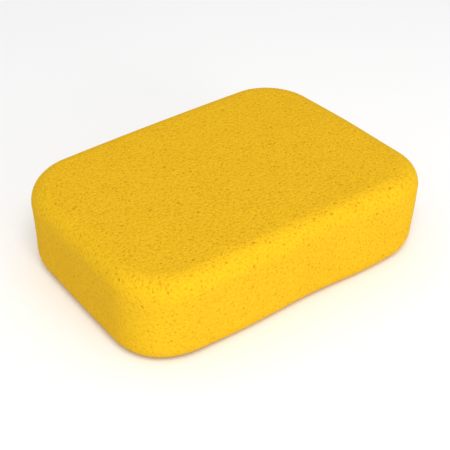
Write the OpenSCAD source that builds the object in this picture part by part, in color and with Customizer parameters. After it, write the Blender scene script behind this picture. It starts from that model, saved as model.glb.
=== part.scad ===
// Grouting sponge: one block of flexible open-cell foam, with round upright
// corners, round edges above and below, and sides that pull in at mid-height.
// Millimetres. +Z is up, +X runs along the length, and the origin is the middle
// of the underside.

/* [Foam block] */
// Length of the block, along X
block_length = 190.5; // [150:0.5:230]
// Width of the block, along Y
block_width = 139.7; // [110:0.1:170]
// Thickness of the block, along Z
block_height = 50.8; // [40:0.1:70]

/* [Rounding] */
// Radius of the four upright corners, seen from above
corner_radius = 32; // [22:0.5:45]
// Radius of the round that runs along the top and bottom edges
edge_radius = 11; // [5:0.5:16]
// How far the sides pull in at mid-height
side_waist = 1; // [0.5:0.1:2]

/* [Hidden] */
$fn = 96;
foam_colour = "gold";
// distance from the middle of the block to the axis of a corner
corner_x = block_length / 2 - corner_radius;
corner_y = block_width / 2 - corner_radius;
// the flat part of the section's side, between the two edge rounds
side_height = block_height - 2 * edge_radius;
// radius of the shallow arc that hollows that flat part by side_waist
waist_radius = (pow(side_height / 2, 2) + pow(side_waist, 2)) / (2 * side_waist);

// Half of the block's section, from a corner's axis (x = 0) out to the side.
module section() {
    difference() {
        union() {
            square([corner_radius - edge_radius, block_height]);
            translate([0, edge_radius])
                square([corner_radius, side_height]);
            for (z = [edge_radius, block_height - edge_radius])
                translate([corner_radius - edge_radius, z])
                    circle(edge_radius);
        }
        translate([corner_radius - side_waist + waist_radius, block_height / 2])
            circle(waist_radius);
    }
}

// One upright corner: the section turned through a quarter, facing +X and +Y.
module corner() {
    rotate_extrude(angle = 90)
        section();
}

// One straight side of the given length, along +X, facing -Y.
module side(length) {
    rotate([90, 0, 90])
        mirror([1, 0, 0])
            linear_extrude(length)
                section();
}

// The whole block: a core, with a side and a corner for each quarter turn.
module sponge() {
    color(foam_colour)
    union() {
        translate([-corner_x, -corner_y, 0])
            cube([2 * corner_x, 2 * corner_y, block_height]);
        for (turn = [0, 1]) rotate(180 * turn) {
            translate([-corner_x, -corner_y, 0])
                side(2 * corner_x);
            translate([corner_x, -corner_y, 0])
                rotate(90)
                    side(2 * corner_y);
            translate([corner_x, corner_y, 0])
                corner();
            translate([-corner_x, corner_y, 0])
                rotate(90)
                    corner();
        }
    }
}

sponge();
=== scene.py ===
import math
import random

import bmesh
import bpy
import numpy as np
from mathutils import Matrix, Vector, kdtree, noise


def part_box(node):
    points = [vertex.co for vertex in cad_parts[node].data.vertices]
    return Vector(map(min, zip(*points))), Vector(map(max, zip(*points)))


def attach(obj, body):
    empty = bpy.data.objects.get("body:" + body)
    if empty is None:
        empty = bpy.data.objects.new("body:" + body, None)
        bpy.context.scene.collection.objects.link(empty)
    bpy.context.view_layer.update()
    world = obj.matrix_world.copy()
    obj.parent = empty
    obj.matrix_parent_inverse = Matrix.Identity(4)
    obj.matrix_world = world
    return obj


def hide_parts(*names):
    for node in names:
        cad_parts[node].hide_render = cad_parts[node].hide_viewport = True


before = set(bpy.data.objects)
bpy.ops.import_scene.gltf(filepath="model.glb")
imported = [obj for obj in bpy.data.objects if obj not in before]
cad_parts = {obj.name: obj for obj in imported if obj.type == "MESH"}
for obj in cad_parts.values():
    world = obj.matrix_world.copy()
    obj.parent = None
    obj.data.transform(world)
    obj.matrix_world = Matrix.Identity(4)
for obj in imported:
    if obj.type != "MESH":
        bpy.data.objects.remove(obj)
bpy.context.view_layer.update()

mm = 0.001
node = "sponge"
lowest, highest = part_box(node)
length, width, height = highest - lowest


class Wire:
    # an output socket of a material, so that shader maths reads as plain sums
    def __init__(self, tree, socket=None):
        self.tree = tree
        self.socket = socket

    def node(self, kind, settings=None, sockets=None, output=0):
        made = self.tree.nodes.new(kind)
        for name, value in (settings or {}).items():
            setattr(made, name, value)
        for name, value in (sockets or {}).items():
            if isinstance(value, Wire):
                value.feed(made.inputs[name])
            else:
                made.inputs[name].default_value = value
        return Wire(self.tree, made.outputs[output])

    def feed(self, target):
        self.tree.links.new(self.socket, target)

    def sibling(self, name):
        # another output of the same node
        return Wire(self.tree, self.socket.node.outputs[name])

    def maths(self, operation, first, second):
        return self.node("ShaderNodeMath", {"operation": operation}, {0: first, 1: second})

    def mix(self, factor, first, second):
        # 6 and 7 are the colour inputs of a Mix node, and 2 is its colour output
        return self.node("ShaderNodeMix", {"data_type": "RGBA"}, {0: factor, 6: first, 7: second}, output=2)

    def within(self, low, high):
        # 0 below low, 1 above high, and a smooth step between
        return self.node("ShaderNodeMapRange", {"interpolation_type": "SMOOTHSTEP"},
                         {"Value": self, "From Min": low, "From Max": high})

    def __add__(self, other):
        return self.maths("ADD", self, other)

    def __sub__(self, other):
        return self.maths("SUBTRACT", self, other)

    def __rsub__(self, other):
        return self.maths("SUBTRACT", other, self)

    def __mul__(self, other):
        return self.maths("MULTIPLY", self, other)

    __radd__ = __add__
    __rmul__ = __mul__


def meshCoords(mesh):
    coords = np.empty(len(mesh.vertices) * 3)
    mesh.vertices.foreach_get("co", coords)
    return coords.reshape(-1, 3)


def meshNormals(mesh):
    normals = np.empty(len(mesh.vertices) * 3)
    mesh.vertex_normals.foreach_get("vector", normals)
    return normals.reshape(-1, 3)


foamBlock = {
    "frontLeftCorner": 35 * mm,      # radii of the four upright corners
    "frontRightCorner": 30 * mm,
    "backLeftCorner": 33.5 * mm,
    "backRightCorner": 32 * mm,
    "cornerSegments": 24,
    "topEdge": 11.5 * mm,            # radius of the round along each rim
    "bottomEdge": 10 * mm,
    "edgeSegments": 12,
    "taper": 1.1 * mm,               # how much further in the sides are at the bottom
    "waist": 0.7 * mm,               # how far the sides pull in at mid-height
    "arch": 0.7 * mm,                # rise of the top's middle over its two ends
    "twist": 1.0 * mm,               # rise of two opposite corners of the top
    "bow": 1.1 * mm,                 # sideways bend along the length
    "splay": 2.1 * mm,               # how much further out each end is at the front than halfway back
    "nudges": [                      # place in half lengths, half widths and heights, reach, push outwards
        ((-0.95, -0.55, 0.05), 22 * mm, -0.3 * mm),
        ((-0.7, -1.0, 0.05), 22 * mm, -1.3 * mm),
        ((0.1, -1.0, 0.05), 25 * mm, -0.8 * mm),
        ((0.5, -1.0, 0.05), 25 * mm, 0.8 * mm),
        ((0.85, -0.85, 0.05), 22 * mm, -1.2 * mm),
        ((0.92, -0.7, 0.5), 22 * mm, 1.2 * mm),
        ((1.0, 0.0, 0.95), 35 * mm, 1.0 * mm),
    ],
    "faceSize": 0.36 * mm,
}


def roundedBlock(block):
    # a cuboid whose upright edges are rounded one by one, and then its two rims
    bm = bmesh.new()
    bmesh.ops.create_cube(bm, size=1.0)
    bmesh.ops.scale(bm, vec=(length, width, height), verts=bm.verts)
    bmesh.ops.translate(bm, vec=(0, 0, height / 2), verts=bm.verts)
    corners = {
        (-1, -1): block["frontLeftCorner"],
        (1, -1): block["frontRightCorner"],
        (-1, 1): block["backLeftCorner"],
        (1, 1): block["backRightCorner"],
    }
    for (right, back), radius in corners.items():
        corner = Vector((right * length / 2, back * width / 2))
        upright = [e for e in bm.edges if all((v.co.xy - corner).length < mm for v in e.verts)]
        bmesh.ops.bevel(bm, geom=upright, offset=radius, segments=block["cornerSegments"], profile=0.5,
                        affect="EDGES", material=-1)
    for level, radius in ((height, block["topEdge"]), (0, block["bottomEdge"])):
        rim = [e for e in bm.edges if all(abs(v.co.z - level) < mm for v in e.verts)]
        bmesh.ops.bevel(bm, geom=rim, offset=radius, segments=block["edgeSegments"], profile=0.5,
                        affect="EDGES", material=-1)
    mesh = bpy.data.meshes.new("foamBlank")
    bm.to_mesh(mesh)
    bm.free()
    return mesh


def evenSkin(mesh, faceSize):
    # the same shape in small even faces, which the pores are then pressed into
    blank = bpy.data.objects.new("foamBlank", mesh)
    bpy.context.collection.objects.link(blank)
    remesh = blank.modifiers.new("evenSkin", "REMESH")
    remesh.mode = "VOXEL"
    remesh.voxel_size = faceSize
    shaped = blank.evaluated_get(bpy.context.evaluated_depsgraph_get())
    skin = bpy.data.meshes.new_from_object(shaped)
    bpy.data.objects.remove(blank)
    return skin


def bendFoam(coords, normals, block):
    # the slight unevenness that a real block of foam has, over an underside that the floor keeps flat
    x, y, z = coords.T
    u, v, rise = 2 * x / length, 2 * y / width, z / height
    left = np.where(v < 0, block["frontLeftCorner"], block["backLeftCorner"])
    right = np.where(v < 0, block["frontRightCorner"], block["backRightCorner"])
    radius = np.where(u < 0, left, right)
    outX = x - np.clip(x, radius - length / 2, length / 2 - radius)
    outY = y - np.clip(y, radius - width / 2, width / 2 - radius)
    # 4 * rise * (1 - rise) is 1 at mid-height and 0 at both rims
    inset = (block["taper"] * (1 - rise) + block["waist"] * 4 * rise * (1 - rise)) / radius
    bent = np.stack([
        x - outX * inset - block["splay"] * u * v,
        y - outY * inset + block["bow"] * (1 - u * u),
        z + (block["arch"] * (1 - u * u) + block["twist"] * u * v) * rise,
    ], axis=1)
    for place, reach, push in block["nudges"]:
        middle = np.array(place) * (length / 2, width / 2, height)
        near = np.exp(-np.sum((coords - middle) ** 2, axis=1) / reach ** 2)
        bent += normals * (push * near)[:, None]
    bent[:, 2] = np.maximum(bent[:, 2], 0)
    return bent


foamPores = {
    "seed": 7,
    "kinds": [                       # spacing, smallest and largest radius, depth as a share of the radius
        (17.0 * mm, 0.70 * mm, 0.95 * mm, 1.0),
        (3.3 * mm, 0.46 * mm, 0.74 * mm, 0.85),
        (2.1 * mm, 0.36 * mm, 0.50 * mm, 0.75),
    ],
    "bowl": 1.2,                     # 1 gives a pore a crisp rim, and 2 a soft one
    "crowding": 0.6,                 # the closest two pores come, as a share of their spacing
    "smallBias": 2,                  # 1 gives all radii alike, and more gives mostly small ones
    "rise": Vector((0, 1, 1)).normalized(),      # the way the foam rose, which drew its cells out
    "drawn": 1.35,                   # how much longer than wide its cells are
    "crumb": 1.5 * mm,               # size of the crumbs between the pores
    "relief": 0.05 * mm,             # how far the crumbs stand out
    "coarse": (0.7, 0.9, 1.0),       # how strong all of this is on the ends, the long sides and the flats
}


def crumbs(coords, pores):
    # how far each point of the skin stands out
    along = coords @ pores["rise"] * (1 - 1 / pores["drawn"])
    places = (coords - along[:, None] * pores["rise"]) / pores["crumb"]
    return pores["relief"] * np.array([noise.noise(place) for place in places])


def openPores(coords, normals, pores):
    # how deep each point of the skin is pressed in, with the pits strewn evenly at random
    dice = random.Random(pores["seed"])
    tree = kdtree.KDTree(len(coords))
    for index, place in enumerate(coords):
        tree.insert(place, index)
    tree.balance()
    depth = np.zeros(len(coords))
    for spacing, smallest, largest, steepness in pores["kinds"]:
        free = np.ones(len(coords), bool)
        for index in dice.sample(range(len(coords)), len(coords)):
            if not free[index]:
                continue
            middle = coords[index]
            gap = spacing * dice.uniform(pores["crowding"], 1.0)
            free[[found[1] for found in tree.find_range(middle, gap)]] = False
            radius = smallest + (largest - smallest) * dice.random() ** pores["smallBias"]
            stretch = dice.uniform(1.0, pores["drawn"])
            along = Vector([dice.uniform(-1, 1) for axis in range(3)]) + pores["rise"]
            along = np.array((along - along.project(Vector(normals[index]))).normalized())
            near = [found[1] for found in tree.find_range(middle, radius * stretch)]
            away = coords[near] - middle
            run = away @ along
            across = np.sum(away ** 2, axis=1) - run ** 2
            reached = ((run / stretch) ** 2 + across) / radius ** 2
            pit = steepness * radius * np.clip(1 - reached, 0, 1) ** pores["bowl"]
            depth[near] = np.maximum(depth[near], pit)
    return depth


print("sponge: rounding the block")
skin = evenSkin(roundedBlock(foamBlock), foamBlock["faceSize"])
skin.vertices.foreach_set("co", bendFoam(meshCoords(skin), meshNormals(skin), foamBlock).ravel())
skin.update()

print("sponge: opening the pores in", len(skin.vertices), "points")
coords = meshCoords(skin)
normals = meshNormals(skin)
coarse = normals ** 2 @ foamPores["coarse"]
rounded = 1 - np.sum(normals ** 4, axis=1)      # 0 on the flats and up to 2/3 on the rounds, where the highlight is painted
depth = openPores(coords, normals, foamPores) * coarse
standing = crumbs(coords, foamPores) * coarse - depth
skin.vertices.foreach_set("co", (coords + normals * standing[:, None]).ravel())
# poreDepth also places the painted shade in the pores, and rounded the painted highlight on the rounds
for name, values in (("poreDepth", depth / mm), ("coarse", coarse), ("rounded", rounded)):
    skin.attributes.new(name, "FLOAT", "POINT").data.foreach_set("value", values)
skin.polygons.foreach_set("use_smooth", [True] * len(skin.polygons))
skin.update()
sponge = bpy.data.objects.new("sponge_foam", skin)
bpy.context.collection.objects.link(sponge)

foamLook = {
    "dull": (0.655, 0.364, 0.007, 1),     # the foam itself, in the hollows of its mottling
    "pale": (0.815, 0.490, 0.012, 1),     # its crumbs and thin cell walls
    "darkToneAndPoreShade": (0.520, 0.238, 0.003, 1),     # a darker orange: painted shade down in the pores and pinholes, where the light is yellowed twice over, and also the dark end of the slow changes of tone
    "rimHighlight": (0.800, 0.560, 0.010, 1),     # a paler yellow for the rounds along the rims: a painted highlight
    "grain": 1.2 * mm,                    # size of the mottling
    "grainDetail": 4.0,
    "grainRoughness": 0.7,
    "grainSpan": (0.25, 0.75),            # the part of its range that goes from dull to pale
    "grainMiddle": 0.5,                   # the even tone that it fades to where the foam is finer
    "patch": 25 * mm,                     # size of the slow changes of tone
    "patchDetail": 1.0,
    "patchSpan": (0.3, 0.7),
    "patchShare": 0.06,
    "rimHighlightShare": 0.28,                         # how much of the painted highlight colour the rounds take
    "pinholeGap": 1.9 * mm,               # spacing of the pinholes between the pores
    "pinholeRadius": 0.45,                # as a share of their spacing
    "pinholeEdge": 0.35,
    # how much painted shade the pinholes take
    "pinholeShadeShare": 0.8,
    "poreShadeSpan": (0.05, 0.9),              # pore depths, in millimetres, where the painted shade in the pores starts and ends
    "roughness": 0.87,
    "roughnessSpan": 0.1,                 # how much rougher it is at the top of its grain
    "specular": 0.12,
    "bumpHeight": 0.6,                    # height of the mottling, as a share of a pinhole's depth
    "bumpDepth": 0.25 * mm,
    "bumpStrength": 0.5,
}


def foamMaterial(look):
    material = bpy.data.materials.new("yellow foam")
    material.use_nodes = True
    shader = material.node_tree.nodes["Principled BSDF"]
    shader.inputs["Specular IOR Level"].default_value = look["specular"]
    wire = Wire(material.node_tree)
    poreDepth = wire.node("ShaderNodeAttribute", {"attribute_name": "poreDepth"}, output="Fac")
    coarse = wire.node("ShaderNodeAttribute", {"attribute_name": "coarse"}, output="Fac")
    rounded = wire.node("ShaderNodeAttribute", {"attribute_name": "rounded"}, output="Fac")
    place = wire.node("ShaderNodeTexCoord", output="Object")
    turned = foamPores["rise"].to_track_quat("Z", "Y").to_euler()
    drawn = wire.node("ShaderNodeMapping", {"vector_type": "TEXTURE"},
                      {"Vector": place, "Rotation": turned, "Scale": (1, 1, foamPores["drawn"])})
    grain = wire.node("ShaderNodeTexNoise", {},
                      {"Vector": drawn, "Scale": 1 / look["grain"], "Detail": look["grainDetail"],
                       "Roughness": look["grainRoughness"]}, output="Fac")
    patch = wire.node("ShaderNodeTexNoise", {},
                      {"Vector": place, "Scale": 1 / look["patch"], "Detail": look["patchDetail"]},
                      output="Fac")
    cells = wire.node("ShaderNodeTexVoronoi", {"feature": "F1"},
                      {"Vector": drawn, "Scale": 1 / look["pinholeGap"]}, output="Distance")
    chance = cells.sibling("Color")
    pinhole = (look["pinholeRadius"] - cells).within(0.0, look["pinholeEdge"]) * chance * coarse
    mottling = (grain.within(*look["grainSpan"]) - look["grainMiddle"]) * coarse + look["grainMiddle"]
    colour = wire.mix(mottling, look["dull"], look["pale"])
    # painted highlight: the rounds are made paler, as if lit more
    colour = wire.mix(rounded * look["rimHighlightShare"], colour, look["rimHighlight"])
    colour = wire.mix(patch.within(*look["patchSpan"]) * look["patchShare"], colour, look["darkToneAndPoreShade"])
    # painted shade: the pinholes and the deeper parts of the pores are coloured darker orange, standing for
    # the shade in them
    colour = wire.mix(pinhole * look["pinholeShadeShare"], colour, look["darkToneAndPoreShade"])
    colour = wire.mix(poreDepth.within(*look["poreShadeSpan"]), colour, look["darkToneAndPoreShade"])
    colour.feed(shader.inputs["Base Color"])
    (grain * look["roughnessSpan"] + look["roughness"]).feed(shader.inputs["Roughness"])
    bump = wire.node("ShaderNodeBump", {},
                     {"Height": grain * look["bumpHeight"] - pinhole, "Strength": look["bumpStrength"],
                      "Distance": look["bumpDepth"]}, output="Normal")
    bump.feed(shader.inputs["Normal"])
    return material


print("sponge: mixing the foam's colours")
skin.materials.append(foamMaterial(foamLook))

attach(sponge, "root")
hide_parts(node)


studio = {
    "floorSize": 3.0,
    "floorColour": (0.92, 0.92, 0.92, 1),
    "floorRoughness": 1.0,
    "floorSpecular": 0.0,
    "skyColour": (1, 1, 1, 1),
    "sky": 0.70,
    "middle": Vector((0, 0, 25)) * mm,           # what the lamps point at
    "lampAway": 1.4,
    "lampSize": 0.7,
    "lamps": [                       # name, degrees round from the front, degrees up, watts
        ("highLamp", -30, 55, 9.7),
        ("frontLamp", 0, 12, 6.0),
    ],
    "cameraTurn": -36.8,             # degrees round from the front
    "cameraRise": 35.2,
    "cameraAway": 0.61,
    "cameraAim": Vector((1.5, 0, 14.6)) * mm,
    "cameraLens": 88.5,
}


def direction(turn, rise):
    # a unit vector away from the sponge, from degrees round from the front and degrees up
    turn, rise = math.radians(turn), math.radians(rise)
    return Vector((math.sin(turn) * math.cos(rise), -math.cos(turn) * math.cos(rise), math.sin(rise)))


print("studio: the floor, sky and lamps")
bm = bmesh.new()
bmesh.ops.create_grid(bm, x_segments=1, y_segments=1, size=studio["floorSize"])
floorMesh = bpy.data.meshes.new("floor")
bm.to_mesh(floorMesh)
bm.free()
floor = bpy.data.objects.new("floor", floorMesh)
bpy.context.collection.objects.link(floor)
paleFloor = bpy.data.materials.new("pale floor")
paleFloor.use_nodes = True
floorShader = paleFloor.node_tree.nodes["Principled BSDF"]
floorShader.inputs["Base Color"].default_value = studio["floorColour"]
floorShader.inputs["Roughness"].default_value = studio["floorRoughness"]
floorShader.inputs["Specular IOR Level"].default_value = studio["floorSpecular"]
floorMesh.materials.append(paleFloor)

world = bpy.data.worlds.new("sky")
world.use_nodes = True
world.node_tree.nodes["Background"].inputs["Color"].default_value = studio["skyColour"]
world.node_tree.nodes["Background"].inputs["Strength"].default_value = studio["sky"]
bpy.context.scene.world = world

for name, turn, rise, power in studio["lamps"]:
    lampData = bpy.data.lights.new(name, "AREA")
    lampData.shape = "DISK"
    lampData.size = studio["lampSize"]
    lampData.energy = power
    lamp = bpy.data.objects.new(name, lampData)
    lamp.location = studio["middle"] + direction(turn, rise) * studio["lampAway"]
    lamp.rotation_euler = (studio["middle"] - lamp.location).to_track_quat("-Z", "Y").to_euler()
    bpy.context.collection.objects.link(lamp)

print("studio: the camera")
cameraData = bpy.data.cameras.new("camera")
cameraData.lens = studio["cameraLens"]
camera = bpy.data.objects.new("camera", cameraData)
away = direction(studio["cameraTurn"], studio["cameraRise"]) * studio["cameraAway"]
camera.location = studio["middle"] + away
camera.rotation_euler = (studio["cameraAim"] - camera.location).to_track_quat("-Z", "Y").to_euler()
bpy.context.collection.objects.link(camera)
bpy.context.scene.camera = camera
bpy.context.scene.view_settings.view_transform = "Standard"
